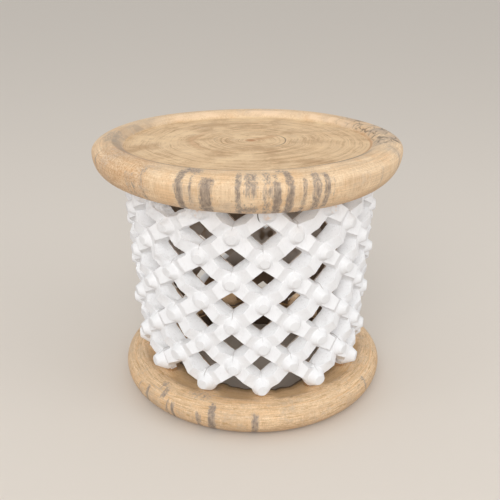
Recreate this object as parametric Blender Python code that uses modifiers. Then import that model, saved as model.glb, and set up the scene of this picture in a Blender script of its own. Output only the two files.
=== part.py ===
"""Bamileke stool: a dished round seat and a heavy base ring joined by an openwork drum wall."""

import math

import bmesh
import bpy
from mathutils import Matrix, Vector

# Whole stool, in metres, standing on Z = 0 with its axis on Z and a column of knobs at -Y.
STOOL_HEIGHT = 0.345
SEAT_RADIUS = 0.200
BASE_RADIUS = 0.182
BASE_HEIGHT = 0.042
GAP = 0.0003
MERGE_DISTANCE = 0.00001

# Seat: rolled rim round a shallow flat dish.
RIM_BULGE = 0.0235
RIM_SHOULDER = 0.014
RIM_SKIRT = 0.032
RIM_WIDTH = 0.040
DISH_DEPTH = 0.009

# Base ring: rounded outer side, top falling gently inward to the bore.
BASE_BULGE = 0.026
BASE_SHOULDER = 0.018
BASE_TOP_FALL = 0.006
BASE_RING_WIDTH = 0.060

# Openwork wall: knobs stand in staggered columns and arms join them diagonally.
REPEATS = 12
LEVELS = 9
RIM_OVERHANG = 0.0453
FOOT_SETBACK = 0.0359
TOP_ROW_DROP = 0.0068
FOOT_ROW_LIFT = 0.0171
WALL_DEPTH = 0.0127
ARM_WIDTH = 0.0235
ARM_RIDGE = 0.010
ARM_RIDGE_WIDTH = 0.016
ARM_LAP = 0.002
FOOT_WIDTH = 0.014
FOOT_RECESS = 0.003

# Knobs: blunt pegs that rise from each crossing.
KNOB_RISE = 0.0125
KNOB_ROOT = 0.006
KNOB_RADIUS = 0.0115
KNOB_CROWN_RADIUS = 0.0098
KNOB_CHAMFER = 0.0050

# Facets of the round shapes.
TURN_STEPS = 72
ROLL_STEPS = 5
SLOPE_STEPS = 4
KNOB_SIDES = 8

# Sizes that follow from those above.
RIM_CROWN_RADIUS = SEAT_RADIUS - RIM_BULGE
RIM_WIDEST_Z = STOOL_HEIGHT - RIM_SHOULDER
SEAT_UNDER_Z = RIM_WIDEST_Z - RIM_SKIRT
DISH_RADIUS = SEAT_RADIUS - RIM_WIDTH
DISH_Z = STOOL_HEIGHT - DISH_DEPTH
BASE_CREST_RADIUS = BASE_RADIUS - BASE_BULGE
BASE_WIDEST_Z = BASE_HEIGHT - BASE_SHOULDER
BORE_RADIUS = BASE_RADIUS - BASE_RING_WIDTH
WALL_TOP_RADIUS = SEAT_RADIUS - RIM_OVERHANG
WALL_FOOT_RADIUS = BASE_RADIUS - FOOT_SETBACK
TOP_LEVEL_Z = SEAT_UNDER_Z - TOP_ROW_DROP
FOOT_LEVEL_Z = BASE_HEIGHT + FOOT_ROW_LIFT
LEVEL_PITCH = (TOP_LEVEL_Z - FOOT_LEVEL_Z) / (LEVELS - 1)
WALL_TAPER = (WALL_TOP_RADIUS - WALL_FOOT_RADIUS) / (TOP_LEVEL_Z - FOOT_LEVEL_Z)
WRAP_RADIUS = (WALL_TOP_RADIUS + WALL_FOOT_RADIUS) / 2
COLUMN_PITCH = WRAP_RADIUS * math.pi / REPEATS


def clear_scene():
    """Remove every object of the scene."""
    for obj in list(bpy.data.objects):
        bpy.data.objects.remove(obj, do_unlink=True)


def new_collection(name):
    """Return a new collection linked to the scene."""
    collection = bpy.data.collections.new(name)
    bpy.context.scene.collection.children.link(collection)
    return collection


def new_material(name, colour, roughness):
    """Return a Principled material of one plain colour."""
    material = bpy.data.materials.new(name)
    material.use_nodes = True
    shader = material.node_tree.nodes["Principled BSDF"]
    shader.inputs["Base Color"].default_value = (*colour, 1.0)
    shader.inputs["Roughness"].default_value = roughness
    shader.inputs["Metallic"].default_value = 0.0
    return material


def new_object(name, mesh, collection, material=None):
    """Link a mesh to a collection as a named object."""
    obj = bpy.data.objects.new(name, mesh)
    collection.objects.link(obj)
    if material and not mesh.materials:
        mesh.materials.append(material)
    return obj


def quarter(centre_r, centre_z, bulge, rise, start, stop):
    """Return points of an elliptical bulge between two angles, in degrees from the outermost point."""
    points = []
    for step in range(ROLL_STEPS + 1):
        angle = math.radians(start + (stop - start) * step / ROLL_STEPS)
        points.append((centre_r + bulge * math.cos(angle), centre_z + rise * math.sin(angle)))
    return points


def turned(name, profile, closed, collection, material):
    """Turn a profile of (radius, height) points round the Z axis."""
    mesh = bpy.data.meshes.new(name)
    bm = bmesh.new()
    verts = [bm.verts.new((radius, 0.0, height)) for radius, height in profile]
    for first, second in zip(verts, verts[1:]):
        bm.edges.new((first, second))
    if closed:
        bm.edges.new((verts[-1], verts[0]))
    bm.to_mesh(mesh)
    bm.free()
    obj = new_object(name, mesh, collection, material)
    screw = obj.modifiers.new("turn", "SCREW")
    screw.axis = "Z"
    screw.angle = math.tau
    screw.steps = TURN_STEPS
    screw.render_steps = TURN_STEPS
    screw.use_merge_vertices = True
    screw.merge_threshold = MERGE_DISTANCE
    screw.use_smooth_shade = True
    return obj


def seat_profile():
    """Return the seat's half section from the dish centre, over the rim and in under the seat."""
    slope = []
    for step in range(SLOPE_STEPS):
        share = step / SLOPE_STEPS
        ease = share * share * (3 - 2 * share)
        radius = DISH_RADIUS + (RIM_CROWN_RADIUS - DISH_RADIUS) * share
        slope.append((radius, DISH_Z + DISH_DEPTH * ease))
    shoulder = quarter(RIM_CROWN_RADIUS, RIM_WIDEST_Z, RIM_BULGE, RIM_SHOULDER, 90, 0)
    skirt = quarter(RIM_CROWN_RADIUS, RIM_WIDEST_Z, RIM_BULGE, RIM_SKIRT, 0, -90)
    return [(0.0, DISH_Z)] + slope + shoulder + skirt[1:] + [(0.0, SEAT_UNDER_Z)]


def base_profile():
    """Return the base ring's section from the bore's top edge, over the bulge and in under the ring."""
    shoulder = quarter(BASE_CREST_RADIUS, BASE_WIDEST_Z, BASE_BULGE, BASE_SHOULDER, 90, 0)
    skirt = quarter(BASE_CREST_RADIUS, BASE_WIDEST_Z, BASE_BULGE, BASE_WIDEST_Z, 0, -90)
    return [(BORE_RADIUS, BASE_HEIGHT - BASE_TOP_FALL)] + shoulder + skirt[1:] + [(BORE_RADIUS, 0.0)]


def wall_radius(height):
    """Return the radius of the wall's outer valleys at a height."""
    return WALL_FOOT_RADIUS + WALL_TAPER * (height - FOOT_LEVEL_Z)


def knob_centre(column, level):
    """Return a crossing's place on the wall laid flat: X along it, -Y outward, Z up."""
    return Vector((column * COLUMN_PITCH, 0.0, TOP_LEVEL_Z - level * LEVEL_PITCH))


def add_arm(bm, start, end):
    """Add the arm between two crossings: a bar whose outer face rises to a narrower ridge half way."""
    along = end - start
    size = Matrix.Diagonal((along.length + 2 * ARM_LAP, WALL_DEPTH, ARM_WIDTH, 1.0))
    bar = bmesh.ops.create_cube(bm, size=1.0, matrix=size)["verts"]
    corners = [vert for vert in bar if vert.co.y < 0]
    outer = next(face for face in corners[0].link_faces if set(face.verts) == set(corners))
    cut = bmesh.ops.bisect_plane(
        bm,
        geom=corners + list(outer.edges) + [outer],
        dist=MERGE_DISTANCE,
        plane_co=(0.0, 0.0, 0.0),
        plane_no=(1.0, 0.0, 0.0),
    )["geom_cut"]
    ridge = [item for item in cut if isinstance(item, bmesh.types.BMVert)]
    for vert in ridge:
        vert.co.y -= ARM_RIDGE
        vert.co.z *= ARM_RIDGE_WIDTH / ARM_WIDTH
    bmesh.ops.connect_verts(bm, verts=corners)
    middle = (start + end) / 2 + Vector((0.0, WALL_DEPTH / 2, 0.0))
    tilt = math.atan2(along.z, along.x)
    place = Matrix.Translation(middle) @ Matrix.Rotation(-tilt, 4, "Y")
    bmesh.ops.transform(bm, matrix=place, verts=bar + ridge)


def add_knob(bm, centre):
    """Add the blunt peg of one crossing, rooted in the wall."""
    depth = KNOB_RISE + KNOB_ROOT
    middle = centre + Vector((0.0, KNOB_ROOT - depth / 2, 0.0))
    made = bmesh.ops.create_cone(
        bm,
        cap_ends=True,
        segments=KNOB_SIDES,
        radius1=KNOB_RADIUS,
        radius2=KNOB_CROWN_RADIUS,
        depth=depth,
        matrix=Matrix.Translation(middle) @ Matrix.Rotation(math.pi / 2, 4, "X"),
    )["verts"]
    tip_y = min(vert.co.y for vert in made)
    tip = {vert for vert in made if vert.co.y < tip_y + GAP}
    edges = {edge for vert in tip for edge in vert.link_edges if tip.issuperset(edge.verts)}
    bmesh.ops.bevel(bm, geom=list(edges), offset=KNOB_CHAMFER, segments=1, affect="EDGES")


def add_foot(bm, centre):
    """Add the short post below a foot crossing, running down past the base ring's top."""
    drop = centre.z - BASE_HEIGHT / 2
    depth = WALL_DEPTH - FOOT_RECESS
    middle = centre + Vector((0.0, FOOT_RECESS + depth / 2, -drop / 2))
    size = Matrix.Diagonal((FOOT_WIDTH, depth, drop, 1.0))
    bmesh.ops.create_cube(bm, size=1.0, matrix=Matrix.Translation(middle) @ size)


def panel_blank():
    """Return the bars, pegs and foot of one repeat of the wall, laid flat and longer than the repeat."""
    mesh = bpy.data.meshes.new("panel_blank")
    bm = bmesh.new()
    for column, top_level in ((-1, -1), (0, -1), (1, 0)):
        for level in range(top_level, LEVELS - 1):
            step = 1 if (column + level) % 2 == 0 else 0
            add_arm(bm, knob_centre(column, level + 1 - step), knob_centre(column + 1, level + step))
    for column in (0, 1):
        for level in range(column, LEVELS, 2):
            add_knob(bm, knob_centre(column, level))
    add_foot(bm, knob_centre(0, LEVELS - 1))
    bmesh.ops.recalc_face_normals(bm, faces=bm.faces)
    bm.to_mesh(mesh)
    bm.free()
    return mesh


def sector_block():
    """Return the flat block that trims a repeat to its sector, to the seat above and the base below."""
    mesh = bpy.data.meshes.new("sector_block")
    bm = bmesh.new()
    bmesh.ops.create_cube(bm, size=2.0)
    fall = BASE_TOP_FALL / (BASE_CREST_RADIUS - BORE_RADIUS)
    reach = WALL_DEPTH + KNOB_RISE
    for vert in bm.verts:
        side = COLUMN_PITCH / 2 + vert.co.x * (COLUMN_PITCH - GAP / 2)
        out = -vert.co.y * reach
        height = SEAT_UNDER_Z - GAP
        if vert.co.z < 0:
            offset = wall_radius(0.0) + out - BASE_CREST_RADIUS
            height = (BASE_HEIGHT + GAP + fall * offset) / (1 - fall * WALL_TAPER)
        vert.co = Vector((side, -out, height))
    bm.to_mesh(mesh)
    bm.free()
    return mesh


def wrap_round(mesh):
    """Bend a flat repeat round the stool's axis, onto the wall's taper."""
    bm = bmesh.new()
    bm.from_mesh(mesh)
    bmesh.ops.remove_doubles(bm, verts=bm.verts, dist=MERGE_DISTANCE)
    bmesh.ops.dissolve_limit(bm, angle_limit=math.radians(0.5), verts=bm.verts, edges=bm.edges)
    for share in (0.0, 0.5, 1.0):
        inner = [face for face in bm.faces if face.normal.y > 0.9]
        edges = {edge for face in inner for edge in face.edges}
        verts = {vert for face in inner for vert in face.verts}
        bmesh.ops.bisect_plane(
            bm,
            geom=list(verts) + list(edges) + inner,
            dist=MERGE_DISTANCE,
            plane_co=(share * COLUMN_PITCH, 0.0, 0.0),
            plane_no=(1.0, 0.0, 0.0),
        )
    bmesh.ops.triangulate(bm, faces=bm.faces)
    for vert in bm.verts:
        angle = vert.co.x / WRAP_RADIUS
        radius = wall_radius(vert.co.z) - vert.co.y
        vert.co = Vector((radius * math.sin(angle), -radius * math.cos(angle), vert.co.z))
    bm.to_mesh(mesh)
    bm.free()


def wall_panel_mesh(cutters):
    """Return one repeat of the openwork wall, trimmed and bent to its place."""
    blank = new_object("panel_blank", panel_blank(), cutters)
    block = new_object("sector_block", sector_block(), cutters)
    trim = blank.modifiers.new("trim", "BOOLEAN")
    trim.operation = "INTERSECT"
    trim.solver = "EXACT"
    trim.use_self = True
    trim.object = block
    depsgraph = bpy.context.evaluated_depsgraph_get()
    mesh = bpy.data.meshes.new_from_object(blank.evaluated_get(depsgraph))
    mesh.name = "wall_panel"
    wrap_round(mesh)
    for tool in (blank, block):
        tool.hide_render = True
        tool.display_type = "WIRE"
    return mesh


def main():
    """Build the stool."""
    clear_scene()
    stool = new_collection("bamileke_stool")
    cutters = new_collection("cutters")
    seat_wood = new_material("seat_wood", (0.66, 0.45, 0.26), 0.55)
    base_wood = new_material("base_wood", (0.62, 0.44, 0.27), 0.60)
    white_paint = new_material("white_paint", (0.86, 0.85, 0.84), 0.80)
    turned("seat", seat_profile(), False, stool, seat_wood)
    turned("base_ring", base_profile(), True, stool, base_wood)
    panel = wall_panel_mesh(cutters)
    for index in range(REPEATS):
        repeat = new_object(f"wall_panel_{index + 1:02d}", panel, stool, white_paint)
        repeat.rotation_euler.z = index * math.tau / REPEATS


main()
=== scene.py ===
"""Dresses the carved stool: honey wood seat, white openwork wall and honey wood base ring.

Lengths are metres in the stool's own frame: Z up from the floor, a column of knobs at -Y. Turns are degrees
round Z from -Y towards +X, so they grow to the right as a viewer sees the front.
"""

from __future__ import annotations

import logging
import math
from dataclasses import dataclass
from enum import Enum
from typing import Any, Callable, Mapping, Sequence, Union

import bpy
import numpy as np
from mathutils import Matrix, Vector


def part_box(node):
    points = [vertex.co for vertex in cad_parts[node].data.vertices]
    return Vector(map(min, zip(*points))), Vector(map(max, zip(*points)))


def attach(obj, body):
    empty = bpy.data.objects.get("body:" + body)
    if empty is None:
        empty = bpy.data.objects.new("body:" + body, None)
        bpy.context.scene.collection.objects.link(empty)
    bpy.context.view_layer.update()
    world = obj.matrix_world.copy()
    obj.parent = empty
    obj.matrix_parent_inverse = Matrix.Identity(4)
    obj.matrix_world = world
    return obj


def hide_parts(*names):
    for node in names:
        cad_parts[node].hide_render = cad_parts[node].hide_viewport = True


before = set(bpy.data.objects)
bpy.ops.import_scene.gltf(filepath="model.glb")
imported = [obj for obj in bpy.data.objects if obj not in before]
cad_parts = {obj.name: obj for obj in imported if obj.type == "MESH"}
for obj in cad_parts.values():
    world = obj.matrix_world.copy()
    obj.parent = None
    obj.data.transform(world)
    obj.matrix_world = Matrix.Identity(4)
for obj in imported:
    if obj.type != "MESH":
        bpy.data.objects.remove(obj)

LOG = logging.getLogger("stool")
BODY = "root"
MILLIMETRES = 1000.0
Colour = tuple[float, float, float]
Number = Union["Value", float]


class Slot(Enum):
    """Material slots."""

    SEAT = "seat_wood"
    BASE = "base_wood"
    WALL = "white_paint"


def operator(operation: str, swapped: bool = False) -> Callable[..., Value]:
    """Return a method of Value that adds a Math node.

    Args:
        operation: the node's operation.
        swapped: whether the value comes last, as in a reflected operator.

    Returns:
        The method, which takes one more number or none.
    """

    def method(self: Value, *others: Number) -> Value:
        """Return the result of the operation."""
        return self.graph.math(operation, *((*others, self) if swapped else (self, *others)))

    return method


class Value:
    """A node socket that takes part in Python arithmetic. A comparison gives 1 where it holds."""

    def __init__(self, graph: Graph, socket: bpy.types.NodeSocket) -> None:
        """Wrap one output socket of a graph."""
        self.graph = graph
        self.socket = socket

    __add__ = __radd__ = operator("ADD")
    __sub__ = operator("SUBTRACT")
    __rsub__ = operator("SUBTRACT", swapped=True)
    __mul__ = __rmul__ = operator("MULTIPLY")
    __truediv__ = operator("DIVIDE")
    __pow__ = operator("POWER")
    __mod__ = operator("FLOORED_MODULO")
    __gt__ = operator("GREATER_THAN")
    __lt__ = operator("LESS_THAN")
    __abs__ = operator("ABSOLUTE")
    sine = operator("SINE")
    cosine = operator("COSINE")
    root = operator("SQRT")
    floor = operator("FLOOR")
    most = operator("MAXIMUM")

    def step(self, zero: float, one: float) -> Value:
        """Return a smooth step.

        Args:
            zero: where the step is 0.
            one: where the step is 1, on either side of zero.

        Returns:
            The step, from 0 to 1.
        """
        settings = {"interpolation_type": "SMOOTHSTEP", "clamp": True}
        inputs = {"Value": self, "From Min": min(zero, one), "From Max": max(zero, one)}
        inputs.update({"To Min": float(zero > one), "To Max": float(zero < one)})
        return self.graph.node("ShaderNodeMapRange", "Result", settings, inputs)

    def band(self, low: float, lower: float, upper: float, high: float) -> Value:
        """Return 1 from lower to upper, fading to 0 at low and at high."""
        return self.step(low, lower) * self.step(high, upper)


class Graph:
    """Builds the nodes of one shader or geometry tree."""

    def __init__(self, tree: bpy.types.NodeTree) -> None:
        """Wrap a tree."""
        self.tree = tree

    def node(
        self,
        kind: str,
        output: str | int | None = 0,
        settings: Mapping[str, Any] | None = None,
        inputs: Mapping[str | int, Any] | None = None,
    ) -> Value | None:
        """Add a node.

        Args:
            kind: the node's type name.
            output: identifier, name or index of the output to return, or None for a node without one.
            settings: the node's own properties.
            inputs: values or links by socket identifier, name or index; a list links several to one socket.

        Returns:
            The wanted output.
        """
        made = self.tree.nodes.new(kind)
        for name, value in (settings or {}).items():
            setattr(made, name, value)
        for name, value in (inputs or {}).items():
            socket = self._find(made.inputs, name)
            for item in value if isinstance(value, list) else [value]:
                if isinstance(item, Value):
                    self.tree.links.new(item.socket, socket)
                else:
                    socket.default_value = item
        return None if output is None else Value(self, self._find(made.outputs, output))

    @staticmethod
    def _find(sockets: Any, name: str | int) -> bpy.types.NodeSocket:
        """Return a socket.

        Args:
            sockets: a node's inputs or outputs.
            name: index, identifier or name.

        Returns:
            The socket.
        """
        if isinstance(name, int):
            return sockets[name]
        for socket in sockets:
            if socket.identifier == name:
                return socket
        return sockets[name]

    def other(self, value: Value, output: str | int) -> Value:
        """Return another output of the node that made a value."""
        return Value(self, self._find(value.socket.node.outputs, output))

    def math(self, operation: str, *numbers: Number) -> Value:
        """Return the result of a Math node."""
        return self.node("ShaderNodeMath", 0, {"operation": operation}, dict(enumerate(numbers)))

    def vector(self, x: Number, y: Number, z: Number) -> Value:
        """Return three numbers as a vector."""
        return self.node("ShaderNodeCombineXYZ", 0, None, {"X": x, "Y": y, "Z": z})

    def split(self, vector: Value) -> tuple[Value, Value, Value]:
        """Return a vector's three numbers."""
        x = self.node("ShaderNodeSeparateXYZ", "X", None, {"Vector": vector})
        return x, self.other(x, "Y"), self.other(x, "Z")

    def vectors(self, operation: str, *vectors: Any) -> Value:
        """Return the result of a Vector Math node; a dot product is a number."""
        output = "Value" if operation == "DOT_PRODUCT" else "Vector"
        return self.node("ShaderNodeVectorMath", output, {"operation": operation}, dict(enumerate(vectors)))

    def scaled(self, vector: Value, factor: Number) -> Value:
        """Return a vector or a colour times a number."""
        inputs = {"Vector": vector, "Scale": factor}
        return self.node("ShaderNodeVectorMath", "Vector", {"operation": "SCALE"}, inputs)

    def mix(self, factor: Number, first: Any, second: Any) -> Value:
        """Return two colours mixed.

        Args:
            factor: share of the second colour.
            first: colour or link.
            second: colour or link.

        Returns:
            The mixed colour.
        """
        ends = [value if isinstance(value, Value) else (*value, 1.0) for value in (first, second)]
        inputs = {"Factor_Float": factor, "A_Color": ends[0], "B_Color": ends[1]}
        return self.node("ShaderNodeMix", "Result_Color", {"data_type": "RGBA"}, inputs)

    def layers(self, colour: Any, *coats: tuple[Number, Any]) -> Value:
        """Return a colour under coats.

        Args:
            colour: the lowest colour.
            coats: the cover of each coat, from 0 to 1, and its colour.

        Returns:
            The colour that shows.
        """
        for cover, coat in coats:
            colour = self.mix(cover, colour, coat)
        return colour

    def noise(self, place: Value, scale: float, detail: float = 3.0, rough: float = 0.5) -> Value:
        """Return a noise value.

        Args:
            place: where the noise is read.
            scale: cells per unit of place.
            detail: octaves.
            rough: weight of the finer octaves.

        Returns:
            The noise, from 0 to 1 and about 0.5 on average.
        """
        settings = {"noise_dimensions": "3D", "normalize": True}
        inputs = {"Vector": place, "Scale": scale, "Detail": detail, "Roughness": rough}
        return self.node("ShaderNodeTexNoise", 0, settings, inputs)

    def drawn(
        self, place: Value, across: float, along: float, detail: float = 3.0, rough: float = 0.5
    ) -> Value:
        """Return a noise that is drawn out along Z or across it.

        Args:
            place: where the noise is read.
            across: cells per metre sideways.
            along: cells per metre of height.
            detail: octaves.
            rough: weight of the finer octaves.

        Returns:
            The noise, from 0 to 1.
        """
        x, y, z = self.split(place)
        return self.noise(self.vector(x * across, y * across, z * along), 1.0, detail, rough)


class Recipe(Graph):
    """A Geometry Nodes tree with named sizes."""

    def __init__(self, name: str, takes_geometry: bool = False) -> None:
        """Start a tree.

        Args:
            name: the tree's name.
            takes_geometry: whether it works on the geometry of the object that carries it.
        """
        super().__init__(bpy.data.node_groups.new(name, "GeometryNodeTree"))
        self.values: dict[str, float] = {}
        for way in ("INPUT", "OUTPUT") if takes_geometry else ("OUTPUT",):
            self.tree.interface.new_socket("Geometry", in_out=way, socket_type="NodeSocketGeometry")
        self.entry = self.tree.nodes.new("NodeGroupInput")

    def size(self, name: str, value: float) -> Value:
        """Add a named input.

        Args:
            name: its name.
            value: its value.

        Returns:
            The input.
        """
        item = self.tree.interface.new_socket(name, in_out="INPUT", socket_type="NodeSocketFloat")
        self.values[item.identifier] = value
        return Value(self, self._find(self.entry.outputs, item.identifier))

    def geometry(self) -> Value:
        """Return the geometry that the tree works on."""
        return Value(self, self.entry.outputs["Geometry"])

    def move(self, shape: Value, **fields: Any) -> Value:
        """Return a shape with its points moved, by Position or by Offset."""
        return self.node("GeometryNodeSetPosition", 0, None, {"Geometry": shape, **fields})

    def scatter(
        self, points: Value, where: Number, shape: Value, turn: Value, scale: Value, pick: int | None = None
    ) -> Value:
        """Return copies of a shape on points.

        Args:
            points: the points.
            where: which of them take a copy.
            shape: the shape, or several as instances.
            turn: rotation of each copy.
            scale: scale of each copy.
            pick: seed of the choice among several shapes.

        Returns:
            The copies, as instances.
        """
        inputs = {"Points": points, "Selection": where, "Instance": shape, "Rotation": turn, "Scale": scale}
        if pick is not None:
            ends = {"Min_002": 0, "Max_002": 99, "Seed": pick}
            chosen = self.node("FunctionNodeRandomValue", "Value_002", {"data_type": "INT"}, ends)
            inputs.update({"Pick Instance": True, "Instance Index": chosen})
        return self.node("GeometryNodeInstanceOnPoints", 0, None, inputs)

    def chance(self, low: Sequence[float], high: Sequence[float], seed: int) -> Value:
        """Return a random vector for each point."""
        ends = {"Min": tuple(low), "Max": tuple(high), "Seed": seed}
        return self.node("FunctionNodeRandomValue", "Value", {"data_type": "FLOAT_VECTOR"}, ends)

    def store(self, shape: Value, name: str, value: Value) -> Value:
        """Return a shape with a number stored on each point."""
        inputs = {"Geometry": shape, "Name": name, "Value": value}
        return self.node(
            "GeometryNodeStoreNamedAttribute", 0, {"data_type": "FLOAT", "domain": "POINT"}, inputs
        )

    def close(self, shape: Value, material: bpy.types.Material) -> None:
        """End the tree: real geometry in its material.

        Args:
            shape: what the tree makes.
            material: its material.
        """
        real = self.node("GeometryNodeRealizeInstances", 0, None, {"Geometry": shape})
        dressed = self.node("GeometryNodeSetMaterial", 0, None, {"Geometry": real, "Material": material})
        self.node("NodeGroupOutput", None, None, {"Geometry": dressed})

    def put_on(self, obj: bpy.types.Object) -> None:
        """Give an object this tree as a modifier, with its sizes set.

        Args:
            obj: the object.
        """
        modifier = obj.modifiers.new(self.tree.name, "NODES")
        modifier.node_group = self.tree
        for identifier, value in self.values.items():
            modifier[identifier] = value


@dataclass(frozen=True)
class Wave:
    """A slow change round the stool, from work done by eye."""

    size: float
    cycles: int
    phase: float

    def at(self, turn: np.ndarray) -> np.ndarray:
        """Return the wave at turns in radians."""
        return self.size * np.sin(self.cycles * turn + math.radians(self.phase))

    def field(self, turn: Value) -> Value:
        """Return a wave of degrees at turns in radians, as radians."""
        return (turn * self.cycles + math.radians(self.phase)).sine() * math.radians(self.size)


@dataclass(frozen=True)
class Viewer:
    """Where the viewer stands: turn and distance from the axis, height, downward tilt and lens angle."""

    turn: float = -5.0
    distance: float = 0.9263
    height: float = 0.5735
    tilt: float = 22.91
    roll: float = 0.26
    lens_angle: float = 38.06

    def right(self) -> Vector:
        """Return the level direction to the viewer's right."""
        angle = math.radians(self.turn)
        return Vector((math.cos(angle), math.sin(angle), 0.0))

    def towards(self) -> Vector:
        """Return the level direction from the axis to the viewer."""
        angle = math.radians(self.turn)
        return Vector((math.sin(angle), -math.cos(angle), 0.0))


VIEWER = Viewer()


class Finish:
    """A material made of nodes."""

    name: str

    def material(self) -> bpy.types.Material:
        """Return the material, built once."""
        made = bpy.data.materials.get(self.name)
        if made is None:
            made = bpy.data.materials.new(self.name)
            made.use_nodes = True
            made.node_tree.nodes.clear()
            graph = Graph(made.node_tree)
            graph.node("ShaderNodeOutputMaterial", None, None, {"Surface": self.shader(graph)})
        return made

    def shader(self, graph: Graph) -> Value:
        """Return the finish's shader."""
        raise NotImplementedError

    @staticmethod
    def place(graph: Graph) -> Value:
        """Return the point on the object."""
        return graph.node("ShaderNodeTexCoord", "Object")

    @staticmethod
    def mark(graph: Graph, name: str) -> Value:
        """Return a number stored on the piece."""
        return graph.node("ShaderNodeAttribute", "Fac", {"attribute_name": name})

    @staticmethod
    def bump(graph: Graph, height: Value, distance: float, strength: float) -> Value:
        """Return a normal raised by a height from 0 to 1."""
        inputs = {"Height": height, "Distance": distance, "Strength": strength}
        return graph.node("ShaderNodeBump", "Normal", None, inputs)

    @staticmethod
    def surface(graph: Graph, colour: Value, rough: Number, **more: Any) -> Value:
        """Return a surface of a colour and a roughness, with more sockets by name."""
        inputs = {"Base Color": colour, "Roughness": rough, **more}
        return graph.node("ShaderNodeBsdfPrincipled", "BSDF", None, inputs)


@dataclass(frozen=True)
class Grain:
    """A point of a log.

    place is the point, right and front its way from the log's heart as the viewer sees it, reach its distance
    from the heart, level its place on a rounded side, and the rest are noises that follow the wood.
    """

    place: Value
    right: Value
    front: Value
    reach: Value
    level: Value
    cloud: Value
    fibre: Value
    speck: Value

    def facing(self, turn: float) -> Value:
        """Return how nearly the point lies on a turn from the viewer: 1 on it, 0 a quarter turn off."""
        angle = math.radians(turn)
        return (self.right * math.sin(angle) + self.front * math.cos(angle)) / self.reach


@dataclass(frozen=True)
class SolidWood(Finish):
    """Bare sanded log: growth rings round its heart, upright fibres, warm and dull clouds, grey stains."""

    name: str
    heart: tuple[float, float]
    pale: Colour = (0.868, 0.664, 0.439)
    deep: Colour = (0.63, 0.425, 0.245)
    warm: Colour = (0.73, 0.46, 0.24)
    dull: Colour = (0.55, 0.45, 0.35)
    dark: Colour = (0.17, 0.12, 0.08)
    stain_pale: Colour = (0.37, 0.297, 0.242)
    stain_dark: Colour = (0.18, 0.146, 0.126)
    ring_gap: float = 0.0042
    ring_sway: float = 0.016
    sway_scale: float = 15.0
    roughness: float = 0.55
    brightness: float = 1.05

    def grain(self, graph: Graph) -> Grain:
        """Return the point that is shaded.

        Args:
            graph: the shader's graph.

        Returns:
            The point.
        """
        place = self.place(graph)
        x, y, z = graph.split(place)
        cloud = graph.noise(place, 13.0, 4.0, 0.55)
        swapped = graph.vector(y, z, x)
        east = x - self.heart[0] + (graph.noise(place, self.sway_scale, 1.0) - 0.5) * self.ring_sway
        north = y - self.heart[1] + (graph.noise(swapped, self.sway_scale, 1.0) - 0.5) * self.ring_sway
        side, ahead = VIEWER.right(), VIEWER.towards()
        right = east * side.x + north * side.y
        front = east * ahead.x + north * ahead.y
        return Grain(
            place=place,
            right=right,
            front=front,
            reach=(right * right + front * front).root(),
            level=self.mark(graph, "level"),
            cloud=cloud,
            fibre=graph.drawn(place, 420.0, 14.0, 3.0, 0.6),
            speck=graph.noise(place, 800.0, 3.0, 0.7),
        )

    def timber(self, graph: Graph, grain: Grain) -> Value:
        """Return the colour of the clean wood.

        Args:
            graph: the shader's graph.
            grain: the point.

        Returns:
            The colour.
        """
        z = graph.split(grain.place)[2]
        across = graph.vector(grain.reach / self.ring_gap, grain.cloud * 1.5, z * 3.0)
        tone = graph.noise(across, 1.0, 2.0, 0.6) * 0.50 + grain.fibre * 0.60 + grain.cloud * 0.45
        glow = graph.noise(grain.place, 27.0, 4.0, 0.6)
        flecks = graph.drawn(grain.place, 560.0, 210.0, 2.0, 0.6)
        hair = graph.drawn(grain.place, 25.0, 1300.0, 2.0) - 0.5
        colour = graph.layers(
            self.deep,
            (tone.step(0.52, 1.02), self.pale),
            (glow.step(0.50, 0.68) * 0.55, self.warm),
            (glow.step(0.46, 0.30) * 0.50, self.dull),
            (grain.speck.step(0.54, 0.72) * 0.75, self.deep),
            (flecks.step(0.56, 0.70) * 0.95, self.deep),
        )
        return graph.scaled(colour, self.brightness + hair * abs(grain.level).step(1.15, 0.95) * 0.65)

    def marks(self, graph: Graph, grain: Grain, colour: Value) -> Value:
        """Return the colour with the marks that only this piece has."""
        raise NotImplementedError

    def stained(self, graph: Graph, grain: Grain, colour: Value) -> Value:
        """Return the colour with grey stains that break up along the fibres.

        Args:
            graph: the shader's graph.
            grain: the point.
            colour: the colour without stains.

        Returns:
            The colour.
        """
        mark = self.mark(graph, "stain")
        blots = graph.drawn(grain.place, 340.0, 110.0, 4.0, 0.75)
        broken = (grain.fibre - 0.5) * 1.9 + (blots - 0.5) * 1.2
        share = (mark + broken * mark.step(0.0, 0.25)).step(0.20, 0.82)
        tint = graph.mix((blots + (mark - 0.7) * 0.35).step(0.40, 0.72), self.stain_pale, self.stain_dark)
        return graph.mix(share * (0.55 + blots * 0.5), colour, tint)

    def shader(self, graph: Graph) -> Value:
        """Return the wood's shader.

        Args:
            graph: the shader's graph.

        Returns:
            The shader.
        """
        grain = self.grain(graph)
        colour = self.stained(graph, grain, self.marks(graph, grain, self.timber(graph, grain)))
        rough = self.roughness + (grain.fibre - 0.5) * 0.2
        normal = self.bump(graph, grain.fibre * 0.6 + grain.speck * 0.4, 0.0006, 0.5)
        return self.surface(graph, colour, rough, Normal=normal, IOR=1.45)


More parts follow.
